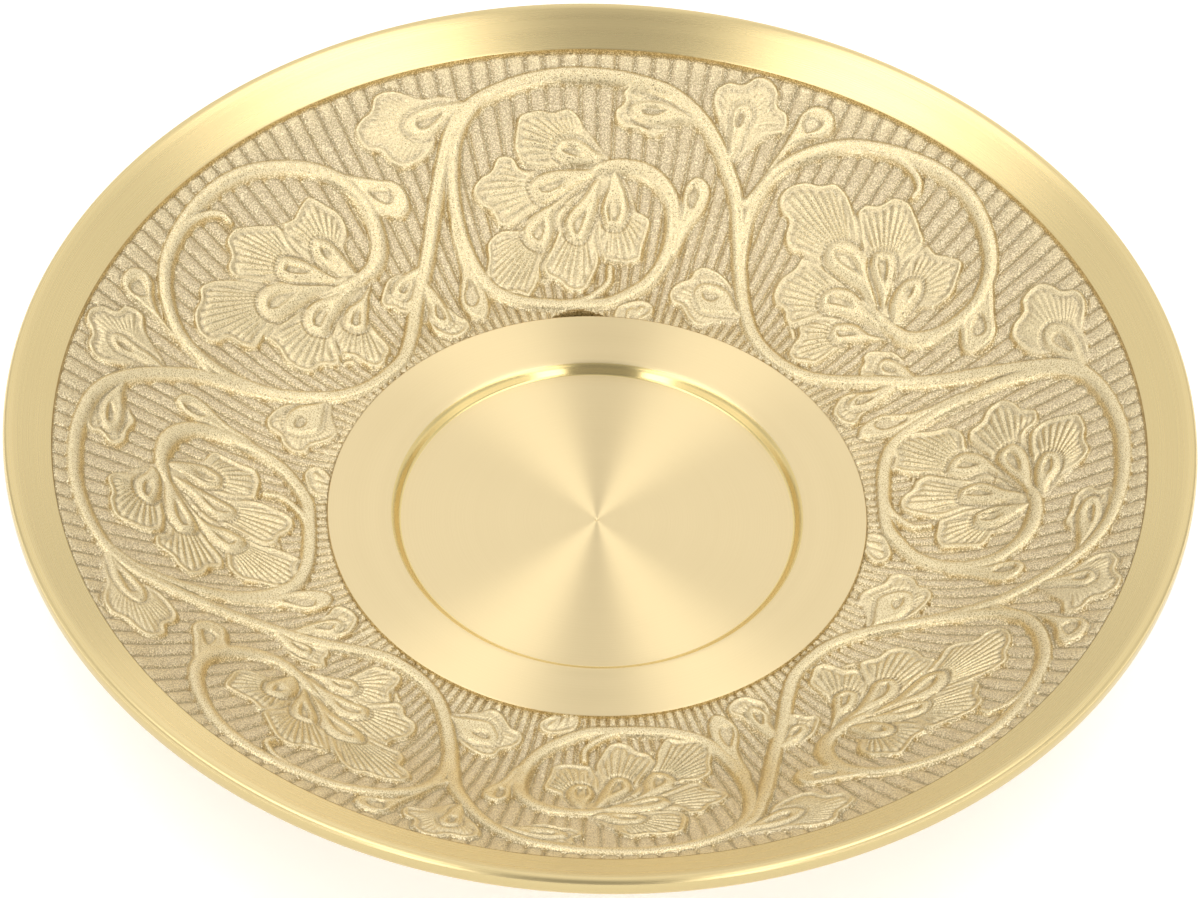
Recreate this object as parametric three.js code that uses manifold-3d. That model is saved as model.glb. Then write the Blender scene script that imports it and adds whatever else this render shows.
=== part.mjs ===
// Decorative cast brass dish: a bowl with a turned rim, a band of scrolling foliage in relief and
// a turned, recessed centre, standing on a separate foot ring that carries a ring of felt.
// Millimetres, +Z up. The origin is on the axis, in the plane that the felt rests on.

import * as THREE from 'three';
import { mergeVertices } from 'three/addons/utils/BufferGeometryUtils.js';
import Module from 'manifold-3d';

const wasm = await Module();
wasm.setup();

// Dish body, cast, then turned on its rim, edge and centre
const rimRadius = 90;
const rimFaceWidth = 7.4;
const edgeRounding = 0.9;
const discRadius = 40.9;
const recessRadius = 30.5;
const recessDepth = 1.4;
const recessBevel = 0.75;
const bowlArcRadius = 44;
const flareAngle = THREE.MathUtils.degToRad(27);
const wallThickness = 3;
const groundDepth = 1.1;
const groundDraft = 0.35;

// Foliage, raised from the sunk ground towards the level of the turned faces
const vineWidth = 2.5;
const vineHeight = 1.1;
const vineShoulderShare = 0.72;
const leafHeight = 0.8;
const underLeafHeight = 0.6;
const rootDepth = 1.3;
const vineStep = 5.2;

// Boss under the centre, turned flat to take the foot ring
const bossRadius = 43;
const bossThickness = 4;
const seatDepth = 0.8;

// Foot ring, turned from brass tube and soldered into the seat under the boss
const footRadius = 41;
const footWidth = 4.5;
const footStand = 4.6;
const footChamfer = 0.4;
const solderGap = 0.3;

// Felt ring, glued into a groove under the foot ring
const feltWidth = 2.3;
const feltThickness = 1.2;
const feltProud = 0.8;
const glueGap = 0.3;

// Facets
const turnSteps = 52;
const bowlSteps = 2;
const roundingSteps = 3;

// Repeats of the foliage round the dish, and the turn in degrees that one repeat is laid out over
const repeats = 4;
const motifTurn = 90;

// Vines of one repeat. Each point is a turn in degrees and a share of the band's width, which
// runs from 0 at the turned centre to 1 at the turned rim.
const waveShares = [
  [0, 0.915], [6, 0.92], [12, 0.895], [17, 0.845], [19.8, 0.78], [22.3, 0.67], [25.2, 0.54],
  [28.3, 0.415], [31, 0.33], [35, 0.235], [40, 0.125], [45, 0.06], [50, 0.045], [55, 0.055],
  [60, 0.1], [64.5, 0.195], [67.5, 0.3], [70, 0.42], [72.5, 0.545], [76, 0.69], [80, 0.785],
  [85, 0.865], [90, 0.915],
];
const upperScrollShares = [
  [62, 0.145], [66.4, 0.26], [69, 0.4], [69.9, 0.53], [69, 0.66], [66.4, 0.76], [62, 0.85],
  [56, 0.905], [50, 0.925], [45, 0.905], [40, 0.84], [36.8, 0.77], [34.8, 0.68], [34.3, 0.58],
  [35.4, 0.48], [38, 0.42], [42, 0.41],
];
const lowerScrollShares = [
  [15.5, 0.865], [19, 0.77], [21.3, 0.64], [22.7, 0.48], [22.8, 0.32], [21, 0.18], [17, 0.105],
  [11, 0.06], [5, 0.048], [0, 0.055], [-4, 0.11], [-7.4, 0.185], [-9.5, 0.29], [-9.8, 0.41],
  [-8.6, 0.51], [-5.6, 0.58], [0, 0.61],
];
const upperHookShares = [[60, 0.87], [56, 0.89], [53, 0.875], [51.4, 0.84], [51.3, 0.805]];
const lowerHookShares = [[10, 0.07], [5, 0.08], [2, 0.115], [-0.3, 0.17], [-0.4, 0.23]];

// Scalloped lobes of the two palmettes, every other one a little lower, round their outlines
const lobeShares = [
  [[42, 0.46], [38.2, 0.58], [39.2, 0.68], [40.6, 0.735], [44, 0.7], [46, 0.69], [46.2, 0.6]],
  [[45, 0.47], [46.5, 0.7], [49.2, 0.76], [52.8, 0.78], [54.8, 0.715], [56.2, 0.69], [54.5, 0.6]],
  [[48, 0.46], [57.6, 0.68], [61, 0.725], [65.2, 0.685], [66.9, 0.62], [64.4, 0.53], [62.3, 0.45]],
  [[47, 0.4], [59, 0.455], [61.4, 0.34], [60.4, 0.26], [56.4, 0.21], [54, 0.21]],
  [[44, 0.34], [44.6, 0.2], [46, 0.11], [50.6, 0.085], [53.8, 0.22], [49, 0.34]],
  [[0, 0.54], [-6.4, 0.42], [-6, 0.3], [-3.6, 0.245], [1.4, 0.27], [1.8, 0.36]],
  [[2, 0.5], [1.6, 0.25], [3.4, 0.14], [7.4, 0.13], [11.3, 0.205], [8.5, 0.36]],
  [[3.5, 0.52], [12.6, 0.2], [15.6, 0.12], [21.2, 0.16], [21, 0.28], [19.2, 0.38], [15.5, 0.405]],
  [[4, 0.56], [13, 0.655], [16, 0.64], [19.6, 0.56], [18.4, 0.46], [14.8, 0.41]],
  [[1, 0.63], [4, 0.77], [7, 0.805], [11.6, 0.79], [12.6, 0.7], [13, 0.65], [10, 0.61]],
];

// Side leaves, stem ends and the leaf beside the turned centre
const leafShares = [
  [[17, 0.86], [25.4, 0.962], [28.4, 0.93], [31.4, 0.86], [29.2, 0.76], [27.6, 0.69], [24.4, 0.7],
    [20, 0.8]],
  [[31, 0.345], [35, 0.37], [38, 0.355], [40.6, 0.29], [38, 0.21]],
  [[32, 0.27], [27.2, 0.07], [30.5, 0.03], [34.4, 0.035], [36.4, 0.1], [35.2, 0.19]],
  [[64, 0.15], [68, 0.25], [73, 0.298], [76, 0.24], [78.4, 0.15], [74.6, 0.085], [71.5, 0.035],
    [68, 0.06]],
  [[80, 0.78], [88.4, 0.885], [90, 0.79], [88.6, 0.735], [85.2, 0.71]],
  [[74.6, 0.66], [69.4, 0.84], [71.3, 0.91], [73, 0.98], [75.9, 0.95], [78.8, 0.9], [77.6, 0.8]],
  [[36, 0.76], [28, 0.655], [28.4, 0.55], [31, 0.53], [35, 0.6]],
  [[-9.2, 0.24], [-14, 0.54], [-12.2, 0.605], [-10, 0.54]],
  [[22.8, 0.42], [22.6, 0.18], [25, 0.055], [28, 0.16], [25.4, 0.3]],
  [[71.2, 0.56], [68.5, 0.91], [66, 0.95], [64.4, 0.89], [68.4, 0.74]],
  [[88, 0.06], [84, 0.1], [80.4, 0.085], [82, 0.012]],
];

// Heights that follow from the sizes above
const footBottom = feltProud;
const bossBottom = footBottom + footStand;
const discTop = bossBottom + bossThickness;
const rimInnerRadius = rimRadius - rimFaceWidth;
const bandWidth = rimInnerRadius - discRadius;
const flareStart = discRadius + bowlArcRadius * Math.sin(flareAngle);
const flareRise = bowlArcRadius * (1 - Math.cos(flareAngle));

// Height of the turned surface over the centre disc, at a plan radius
function bowlRise(radius) {
  const out = radius - discRadius;
  if (out <= 0) return 0;
  if (radius < flareStart) return bowlArcRadius - Math.sqrt(bowlArcRadius ** 2 - out ** 2);
  return flareRise + (radius - flareStart) * Math.tan(flareAngle);
}

function bowlSlope(radius) {
  const out = THREE.MathUtils.clamp(radius - discRadius, 0, flareStart - discRadius);
  return Math.asin(out / bowlArcRadius);
}

// Plan radii along an arc round the bowl's centre, up to where the flare starts
function arcRadii(arcRadius) {
  const radii = [];
  for (let step = 1; step <= bowlSteps; step++) {
    radii.push(discRadius + arcRadius * Math.sin((flareAngle * step) / bowlSteps));
  }
  return radii;
}

function roundedCorner(centreRadius, centreHeight, size, startAngle, endAngle) {
  const points = [];
  for (let step = 0; step <= roundingSteps; step++) {
    const angle = THREE.MathUtils.lerp(startAngle, endAngle, step / roundingSteps);
    points.push([centreRadius + size * Math.cos(angle), centreHeight + size * Math.sin(angle)]);
  }
  return points;
}

// A turned piece. Its section runs anticlockwise, as pairs of radius and height.
function turned(section) {
  const points = section.map(([radius, height]) => new THREE.Vector2(radius, height));
  return new THREE.LatheGeometry(points, turnSteps).rotateX(Math.PI / 2);
}

function turnedBody() {
  const seatInner = footRadius - footWidth - solderGap;
  const seatOuter = footRadius + solderGap;
  const backArc = bowlArcRadius + wallThickness;
  const backOut = (radius) => Math.sqrt(backArc ** 2 - (radius - discRadius) ** 2);
  const backHeight = (radius) => discTop + bowlArcRadius - backOut(radius);
  const backRadii = arcRadii(backArc).filter((radius) => radius > bossRadius);
  const edgeBottom = discTop + bowlRise(rimRadius) - wallThickness / Math.cos(flareAngle);
  const halfRounding = edgeRounding / 2;
  const roundRadius = rimRadius - edgeRounding;
  const roundHeight = discTop + bowlRise(roundRadius) - edgeRounding / Math.cos(flareAngle);
  const groundHeight = (radius) => discTop + bowlRise(radius) - groundDepth;
  const groundOuter = rimInnerRadius - groundDraft;
  const groundRadii = [groundOuter, ...arcRadii(bowlArcRadius).reverse()];
  return turned([
    [0, bossBottom],
    [seatInner, bossBottom],
    [seatInner, bossBottom + seatDepth],
    [seatOuter, bossBottom + seatDepth],
    [seatOuter, bossBottom],
    [bossRadius, bossBottom],
    [bossRadius, backHeight(bossRadius)],
    ...backRadii.map((radius) => [radius, backHeight(radius)]),
    [rimRadius - halfRounding, edgeBottom - halfRounding * Math.tan(flareAngle)],
    [rimRadius, edgeBottom + halfRounding],
    ...roundedCorner(roundRadius, roundHeight, edgeRounding, 0, Math.PI / 2 + flareAngle),
    [rimInnerRadius, discTop + bowlRise(rimInnerRadius)],
    ...groundRadii.map((radius) => [radius, groundHeight(radius)]),
    [discRadius + groundDraft, discTop - groundDepth],
    [discRadius, discTop],
    [recessRadius + recessBevel, discTop],
    [recessRadius, discTop - recessDepth],
    [0, discTop - recessDepth],
  ]);
}

// Plan point of a place on the band, for one of the repeats
function planPoint([turn, share], repeat) {
  const angle = (turn / motifTurn + repeat) * ((2 * Math.PI) / repeats);
  const radius = discRadius + share * bandWidth;
  return new THREE.Vector2(radius * Math.cos(angle), radius * Math.sin(angle));
}

function groundNormal(plan) {
  const slope = bowlSlope(plan.length());
  const inward = plan.clone().setLength(-Math.sin(slope));
  return new THREE.Vector3(inward.x, inward.y, Math.cos(slope));
}

// The point over a plan point, raised from the sunk ground along its normal
function raised(plan, height) {
  const surface = new THREE.Vector3(plan.x, plan.y, discTop + bowlRise(plan.length()));
  return surface.addScaledVector(groundNormal(plan), height - groundDepth);
}

function toSolid(geometry) {
  const bare = geometry.clone();
  bare.deleteAttribute('normal');
  bare.deleteAttribute('uv');
  const merged = mergeVertices(bare);
  return new wasm.Manifold(new wasm.Mesh({
    numProp: 3,
    vertProperties: new Float32Array(merged.attributes.position.array),
    triVerts: new Uint32Array(merged.index.array),
  }));
}

function toGeometry(solid) {
  const mesh = solid.getMesh();
  const geometry = new THREE.BufferGeometry();
  geometry.setAttribute('position', new THREE.BufferAttribute(mesh.vertProperties, mesh.numProp));
  geometry.setIndex(new THREE.BufferAttribute(mesh.triVerts, 1));
  geometry.computeVertexNormals();
  return geometry;
}

function closedSolid(vertices, faces) {
  const geometry = new THREE.BufferGeometry().setFromPoints(vertices);
  geometry.setIndex(faces.flat());
  return toSolid(geometry);
}

// Two rings of points joined by a wall of triangles, each ring being count points long
function wallFaces(start, count) {
  const faces = [];
  for (let k = 0; k < count; k++) {
    const next = (k + 1) % count;
    faces.push([start + k, start + next, start + next + count]);
    faces.push([start + k, start + next + count, start + k + count]);
  }
  return faces;
}

// A vine: a ridge with sloping sides and a flat top, its root sunk in the ground
function vineSolid(places, repeat) {
  const onGround = places.map((place) => raised(planPoint(place, repeat), 0));
  const curve = new THREE.CatmullRomCurve3(onGround);
  const steps = Math.round(curve.getLength() / vineStep);
  const half = vineWidth / 2;
  const shoulder = half * vineShoulderShare;
  const section = [
    [-half, -rootDepth],
    [-shoulder, vineHeight],
    [shoulder, vineHeight],
    [half, -rootDepth],
  ];
  const vertices = [];
  const faces = [];
  for (let step = 0; step <= steps; step++) {
    const point = curve.getPointAt(step / steps);
    const normal = groundNormal(new THREE.Vector2(point.x, point.y));
    const side = curve.getTangentAt(step / steps).cross(normal).normalize();
    for (const [across, up] of section) {
      vertices.push(point.clone().addScaledVector(side, across).addScaledVector(normal, up));
    }
    if (step < steps) faces.push(...wallFaces(step * section.length, section.length));
  }
  const last = steps * section.length;
  for (let k = 1; k < section.length - 1; k++) {
    faces.push([0, k + 1, k]);
    faces.push([last, last + k, last + k + 1]);
  }
  return closedSolid(vertices, faces);
}

// A leaf: its outline in plan, raised to a height, its root sunk in the ground
function leafSolid(places, height, repeat) {
  const plan = places.map((place) => planPoint(place, repeat));
  const outline = THREE.ShapeUtils.isClockWise(plan) ? [...plan].reverse() : plan;
  const caps = THREE.ShapeUtils.triangulateShape(outline, []);
  const count = outline.length;
  const vertices = [
    ...outline.map((point) => raised(point, -rootDepth)),
    ...outline.map((point) => raised(point, height)),
  ];
  const faces = wallFaces(0, count);
  for (const [a, b, c] of caps) {
    faces.push([a, c, b]);
    faces.push([a + count, b + count, c + count]);
  }
  return closedSolid(vertices, faces);
}

function dishBodyGeometry() {
  let body = toSolid(turnedBody());
  const vines = [waveShares, upperScrollShares, lowerScrollShares, upperHookShares, lowerHookShares];
  for (let repeat = 0; repeat < repeats; repeat++) {
    const foliage = [
      ...lobeShares.map((lobe, k) => leafSolid(lobe, k % 2 ? underLeafHeight : leafHeight, repeat)),
      ...leafShares.map((leaf) => leafSolid(leaf, leafHeight, repeat)),
      ...vines.map((vine) => vineSolid(vine, repeat)),
    ];
    for (const solid of foliage) body = body.add(solid);
  }
  return toGeometry(body);
}

function footRingGeometry() {
  const inner = footRadius - footWidth;
  const top = bossBottom + seatDepth - solderGap;
  const middle = footRadius - footWidth / 2;
  const grooveInner = middle - feltWidth / 2 - glueGap;
  const grooveOuter = middle + feltWidth / 2 + glueGap;
  const grooveTop = feltThickness + glueGap;
  return turned([
    [inner, footBottom + footChamfer],
    [inner + footChamfer, footBottom],
    [grooveInner, footBottom],
    [grooveInner, grooveTop],
    [grooveOuter, grooveTop],
    [grooveOuter, footBottom],
    [footRadius - footChamfer, footBottom],
    [footRadius, footBottom + footChamfer],
    [footRadius, top],
    [inner, top],
    [inner, footBottom + footChamfer],
  ]);
}

function feltRingGeometry() {
  const middle = footRadius - footWidth / 2;
  const inner = middle - feltWidth / 2;
  const outer = middle + feltWidth / 2;
  return turned([
    [inner, 0],
    [outer, 0],
    [outer, feltThickness],
    [inner, feltThickness],
    [inner, 0],
  ]);
}

function piece(name, geometry, colour, roughness, metalness) {
  const material = new THREE.MeshStandardMaterial({ color: colour, roughness, metalness });
  const mesh = new THREE.Mesh(geometry, material);
  mesh.name = name;
  return mesh;
}

const dish = new THREE.Group();
dish.add(piece('dish_body', dishBodyGeometry(), '#e0cc93', 0.38, 1));
dish.add(piece('foot_ring', footRingGeometry(), '#cdb678', 0.3, 1));
dish.add(piece('felt_ring', feltRingGeometry(), '#23402f', 0.95, 0));

export default dish;
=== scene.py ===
import math

import bmesh
import bpy
import numpy as np
from mathutils import Matrix, Vector


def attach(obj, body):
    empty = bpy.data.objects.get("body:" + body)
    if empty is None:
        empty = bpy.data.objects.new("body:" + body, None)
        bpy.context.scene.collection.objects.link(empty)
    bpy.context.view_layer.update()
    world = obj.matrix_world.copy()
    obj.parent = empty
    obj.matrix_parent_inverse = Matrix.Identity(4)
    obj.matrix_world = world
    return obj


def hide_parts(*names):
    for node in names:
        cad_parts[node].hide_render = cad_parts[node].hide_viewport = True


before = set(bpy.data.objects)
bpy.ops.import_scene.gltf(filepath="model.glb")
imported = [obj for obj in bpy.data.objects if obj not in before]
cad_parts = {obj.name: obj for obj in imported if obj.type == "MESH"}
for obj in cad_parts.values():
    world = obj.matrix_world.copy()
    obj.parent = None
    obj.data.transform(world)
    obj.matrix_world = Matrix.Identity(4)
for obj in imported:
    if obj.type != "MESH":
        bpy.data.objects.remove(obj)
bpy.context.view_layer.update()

# Sizes of the dish in millimetres, as in the CAD model
RIM_RADIUS = 90.0
RIM_FACE_WIDTH = 7.4
DISC_RADIUS = 40.9
BOWL_ARC_RADIUS = 44.0
FLARE_ANGLE = math.radians(27)
GROUND_DEPTH = 1.1
WALL_THICKNESS = 3.0
RECESS_RADIUS = 30.5
RECESS_DEPTH = 1.4
BOSS_RADIUS = 43.0
BOSS_THICKNESS = 4.0
SEAT_DEPTH = 0.8
FOOT_RADIUS = 41.0
FOOT_WIDTH = 4.5
FOOT_STAND = 4.6
FOOT_CHAMFER = 0.4
SOLDER_GAP = 0.3
FELT_WIDTH = 2.3
FELT_THICKNESS = 1.2
FELT_PROUD = 0.8
GLUE_GAP = 0.3
MM = 0.001

# Places that follow from them
RIM_INNER_RADIUS = RIM_RADIUS - RIM_FACE_WIDTH
BAND_WIDTH = RIM_INNER_RADIUS - DISC_RADIUS
BACK_ARC_RADIUS = BOWL_ARC_RADIUS + WALL_THICKNESS
BOSS_BOTTOM = FELT_PROUD + FOOT_STAND
DISC_TOP = BOSS_BOTTOM + BOSS_THICKNESS
SEAT_TOP = BOSS_BOTTOM + SEAT_DEPTH
FELT_RADIUS = FOOT_RADIUS - FOOT_WIDTH / 2

# Details of the turned pieces, in millimetres: roundings of corners, the recess's sloping wall, the
# centre mark that the lathe left, and how far the outer edge is cut below the slope of the rim
RIM_INNER_ROUNDING = 0.16
RIM_UPPER_ROUNDING = 1.6
RIM_LOWER_ROUNDING = 0.9
RIM_EDGE_CUT = 0.1
DISC_ROUNDING = 0.12
RECESS_UPPER_ROUNDING = 0.8
RECESS_LOWER_ROUNDING = 0.3
RECESS_HALF_WALL = 0.5
SEAT_ROUNDING = 0.15
GROOVE_ROUNDING = 0.1
FELT_UPPER_ROUNDING = 0.1
FELT_LOWER_ROUNDING = 0.25
DIMPLE_RADIUS = 0.35
DIMPLE_DEPTH = 0.25

# Meshes of the turned pieces
TURNED_STEPS = 480
ROUNDING_STEPS = 5
SUPPORT_REACH = 1.6
SUPPORT_GAP = 0.12
SUPPORT_LIMIT = 0.9
SHARP_ANGLE = math.radians(30)
WELD = 0.0005
RING_SLACK = 0.01

# Grid of the relief: one repeat of the foliage is a quarter of the dish. A window of it, in
# degrees and in shares of the band's width, reaches a little past the places that it is for.
REPEATS = 4
REPEAT_TURN = 360 / REPEATS
REPEAT_STEPS = 560
BAND_STEPS = 244
FIRST_SHARE = 0.003
SECTORS = 8
SECTOR_STEPS = REPEATS * REPEAT_STEPS // SECTORS
BACK_STEPS = 16
OUTLINE_STEPS = 7
VINE_STEPS = 14
WINDOW_TURN = 4
WINDOW_SHARE = 0.09

# Skin of the casting: heights in millimetres and reaches in steps of the grid
SKIN_SEED = 11
WAVE_SIZE = 0.018
WAVE_REACH = 9
GRAIN_SIZE = 0.01
GRAIN_REACH = 1
NOOK_REACH = 3
STEEP_SLOPES = (0.35, 1.2)

# Proud places are cut level with the turned faces, a little above them away from the band's edges
CUT_RISE = 0.1
CUT_MARGIN = (0.3, 2.5)

# Pit in the casting beside the centre, at the back: turn and reach in degrees, width as a share
PIT_TURN = 96.0
PIT_REACH = 5.6
PIT_WIDTH = 0.036
PIT_LEVEL = -1.1
PIT_EDGE = 0.004

# Colours, as linear values
CAST_COLOUR = (0.80, 0.66, 0.385, 1)
GROUND_COLOUR = (0.72, 0.59, 0.41, 1)
RUBBED_COLOUR = (0.92, 0.775, 0.47, 1)
PIT_COLOUR = (0.34, 0.29, 0.17, 1)
# Painted glints: near-white specks on the sand grain
PAINTED_GLINT_COLOUR = (1.0, 0.88, 0.60, 1)
# Colour of the deep nooks: tarnish in the hollows together with painted shade
NOOK_TARNISH_AND_SHADE = (0.31, 0.245, 0.14, 1)
CLOUD_COLOUR = (0.73, 0.595, 0.37, 1)
# Painted shade on the steep flanks of the relief
FLANK_SHADE_COLOUR = (0.58, 0.435, 0.195, 1)
BEHIND_COLOUR = (0.56, 0.435, 0.22, 1)
GRAIN_COLOUR = (0.52, 0.41, 0.23, 1)
CENTRE_COLOUR = (0.90, 0.73, 0.42, 1)
CENTRE_RING_COLOUR = (0.86, 0.69, 0.385, 1)
# Painted shade on the sloping wall of the recess
RECESS_WALL_SHADE = (0.80, 0.63, 0.28, 1)
RIM_COLOUR = (0.79, 0.635, 0.325, 1)
RIM_RING_COLOUR = (0.74, 0.585, 0.285, 1)
# Painted shade on the rim's outer edge
RIM_EDGE_SHADE = (0.56, 0.45, 0.225, 1)
FOOT_COLOUR = (0.62, 0.49, 0.24, 1)
FOOT_RING_COLOUR = (0.57, 0.44, 0.205, 1)
FELT_DARK = (0.010, 0.032, 0.018, 1)
FELT_LIGHT = (0.030, 0.085, 0.050, 1)
FLOOR_COLOUR = (0.92, 0.92, 0.91, 1)
FLOOR_SHADE = (0.88, 0.88, 0.87, 1)
WHITE = (1, 1, 1, 1)

# Cast brass: scales in cells per metre, the bump's depth in metres, the heights in millimetres at
# which its looks change, and how strongly they do
SAND_SCALE = 5000.0
SAND_CONTRAST = (0.36, 0.64)
SAND_HEIGHT = 0.00006
SAND_ROUGHNESS = 0.08
SAND_OVER_RISE = 0.2
SAND_ON_RELIEF = 0.6
SAND_ON_SIDES = 0.4
BUMP_ON_RELIEF = 0.35
SIDE_SMOOTHNESS = 0.6
# How strongly the steep flanks take their painted shade
FLANK_SHADE_STRENGTH = 0.7
# How strongly the sand grain takes its painted glints
PAINTED_GLINT_STRENGTH = 0.75
GRAIN_STRENGTH = 0.8
LUMP_SCALE = 1700.0
LUMP_SHARE = 1.5
CAST_CLOUD_SCALE = 90.0
CLOUD_CONTRAST = (0.3, 0.75)
CLOUD_STRENGTH = 0.25
# How strongly the deep nooks take their tarnish and painted shade
NOOK_SHADE_STRENGTH = 0.95
CAST_ROUGHNESS = 0.40
PROUD_POLISH = 0.09
PROUD_RISES = (0.0, 0.9)
RELIEF_RISES = (0.4, 0.75)
PIT_RISES = (-0.3, -0.8)
RUBBED_NOOKS = (0.02, 0.25)
SHADED_NOOKS = (-0.02, -0.13)

# Turned brass: fine tool lines, wider bands of them, and clouds of tarnish
LINE_SCALE = 6500.0
LINE_CONTRAST = (0.3, 0.7)
LINE_STRENGTH = 0.5
LINE_ROUGHNESS = 0.07
LINE_HEIGHT = 0.0000025
BAND_SCALE = 420.0
BAND_ROUGHNESS = 0.05
BAND_SHARE = 0.6
TARNISH_SCALE = 45.0
TARNISH_CONTRAST = (0.35, 0.7)
TARNISH_STRENGTH = 0.15
TARNISH_ROUGHNESS = 0.03
POLISH = 0.14
POLISH_FADE = 1.5
ACROSS_THE_LINES = 0.25

# Felt and floor
FIBRE_SCALE = 2600.0
FIBRE_CONTRAST = (0.3, 0.75)
FIBRE_HEIGHT = 0.0003
CLUMP_SCALE = 420.0
CLUMP_CONTRAST = (0.3, 0.7)
CLUMP_STRENGTH = 0.4
PAPER_SCALE = 700.0
PAPER_CONTRAST = (0.3, 0.7)

# Floor and lamps of the studio, in metres and watts. The floor lies just under the felt's flat face.
FLOOR_SIZE = 14
FLOOR_DROP = 0.0001
FLOOR_GLOW = 0.42
LAMP_SIZE = (0.5, 1.4)
LAMP_PLACE = (0.56, -0.15, 1.5)
LAMP_POWER = 4.65
LAMP_COLOUR = (1.0, 0.985, 0.96)

# Camera: its place, how high it stands over the dish in degrees, and its roll
CAMERA_PLACE = (0.0, -1.34175, 1.4907)
CAMERA_ELEVATION = 47.55
CAMERA_ROLL = 2.45
CAMERA_LENS = 395.5
CAMERA_SENSOR = 36.0
CAMERA_REACH = 100.0

# Brightness of the surroundings
FRONT_LEVEL = 0.42
BACK_LEVEL = 1.1
HORIZON_LEVEL = 0.5
SIDE_SHADE = 0.35
LOW_SHADE = 1.1
GAP_SHADE = 0.12
WINDOW_LEVEL = 3.3
WINDOW_SIDE_SHARE = 0.17
BESIDE_LEVEL = 0.75
CORNER_LEVEL = 0.85

# Where the surroundings change: each pair is the part of a direction that points up, back, to the
# right or to either side, at the start and the end of the change
CEILING_BACK = (-0.5, 0.6)
CEILING_LOW = (0.05, 0.38)
CEILING_HIGH = (0.35, 0.85)
GAP_SIDE = (0.10, 0.26)
SHADE_LOW = (0.05, 0.45)
SHADE_BACK = (-0.1, 0.3)
WINDOW_INNER = (0.27, 0.32)
WINDOW_OUTER = (0.54, 0.47)
WINDOW_BACK = (0.05, -0.25)
WINDOW_SILL = (0.22, 0.28)
WINDOW_HEAD = (0.76, 0.58)
BESIDE_INNER = (0.5, 0.6)
BESIDE_BACK = (0.5, 0.15)
BESIDE_SILL = (0.12, 0.2)
BESIDE_HEAD = (0.5, 0.38)
CORNER_LEFT = (0.02, 0.14)
CORNER_RIGHT = (0.4, 0.26)
CORNER_HEAD = (0.34, 0.2)
CORNER_BACK = (0.7, 0.85)
BACKDROP_HEAD = (0.13, 0.07)

# Reeds of the ground: their turn in degrees, heights in millimetres and how full and round they are
REED_TURN = 2.0
REED_VALLEY = -0.3
REED_RISE = 0.58
REED_DIP = 0.03
REED_DIP_WIDTH = 0.16
REED_FULLNESS = 2.6
REED_ROUNDNESS = 0.75
REED_END = 0.7
EDGE_RISE = 0.35
EDGE_REACH = 6.0

# Levels of the foliage over the sunk ground, in millimetres
PLATE_LEVEL = 0.6
LOBE_LEVEL = 0.66
LOBE_STEP = 0.05
CENTRE_LEAF_LEVEL = 0.7
LEAF_LOOP_LEVEL = 1.04
BUD_LEVEL = 1.06
LOOP_LEVEL = 1.08
VINE_LEVEL = 1.12

# Veins: pitch and rise in millimetres
LOBE_VEINS = (1.0, 0.26)
LEAF_VEINS = (0.9, 0.14)
PLATE_VEINS = (1.6, 0.06)

# Heights of what lies under a groove, between which the groove fades in
CARVED_HEIGHTS = (0.25, 0.6)

# Lobes: where their outer part and their full veins begin, as shares of their reach from the hub,
# and what runs along their outline, with its middle and width in millimetres inside the outline
LOBE_OUTER = (0.4, 0.65)
LOBE_COVER = (-0.15, 0.3)
LOBE_GROOVE = (-0.2, 0.2)
LOBE_GROOVE_DEPTH = 0.32
DOME_RISE = 0.2
DOME_REACH = 3.5
ROLL = (0.55, 0.36)
ROLL_RISE = 0.2
TROUGH = (1.25, 0.42)
TROUGH_DEPTH = 0.12
CREASE_REACH = 0.7
CREASE_DEPTH = 0.25
VEIN_FAN = 0.45
VEIN_CREST = 0.6
VEIN_SHARPNESS = 1.7
VEIN_MARGIN = (0.7, 1.9)
VEIN_START = (0.8, 2.0)
VEIN_FULL = (0.35, 0.5)
VEIN_LEAST = 0.3

# Loops: how they come free of the hub, round off towards their edge and sink in their head
LOOP_FREE = (1.0, 4.0)
LOOP_HEAD = (0.42, 0.66)
LOOP_SLIMMING = 0.1
LOOP_LEAST_HALF = 1.0
LOOP_EDGE_DROP = 0.5
LOOP_EDGE_SHARE = 0.6
LOOP_EDGE_END = 1.4
LOOP_ROUNDNESS = 2.2
LOOP_SUNK = 0.35
LOOP_HOLLOW = (0.56, 0.86)
LOOP_HOLLOW_DEPTH = 0.4
LOOP_COVER = (-0.18, 0.22)
LOOP_GROOVE = (-0.22, 0.22)
LOOP_GROOVE_DEPTH = 0.26

# Pads: the rounded edge, the shallow dish inside it and the hollow
PAD_EDGE_DROP = 0.5
PAD_EDGE_REACH = 1.25
PAD_ROUNDNESS = 2.4
PAD_DISH = (0.7, 1.3)
PAD_DISH_DEPTH = 0.1
PAD_HOLLOW = (-0.35, 0.35)
PAD_HOLLOW_DEPTH = 0.4
PAD_COVER = (-0.14, 0.2)
PAD_GROOVE = (-0.22, 0.18)
PAD_GROOVE_DEPTH = 0.18

# Vines: how their crown falls away, by the distance across as a share of their half width
VINE_ROUNDING = 0.32
VINE_SHOULDER = 0.4
VINE_FOOT = 1.02
VINE_FALL = 3
VINE_REACH = 1.35
VINE_BLEND = 0.14

# Widths along the vines, from root to tip
VINE_WIDTHS = (2.6, 2.6)
SCROLL_WIDTHS = (1.6, 2.3, 2.5, 2.6, 2.6, 2.6, 2.7, 3.1, 1.9)
HOOK_WIDTHS = (2.0, 1.9, 1.6, 1.5, 1.4)

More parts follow.
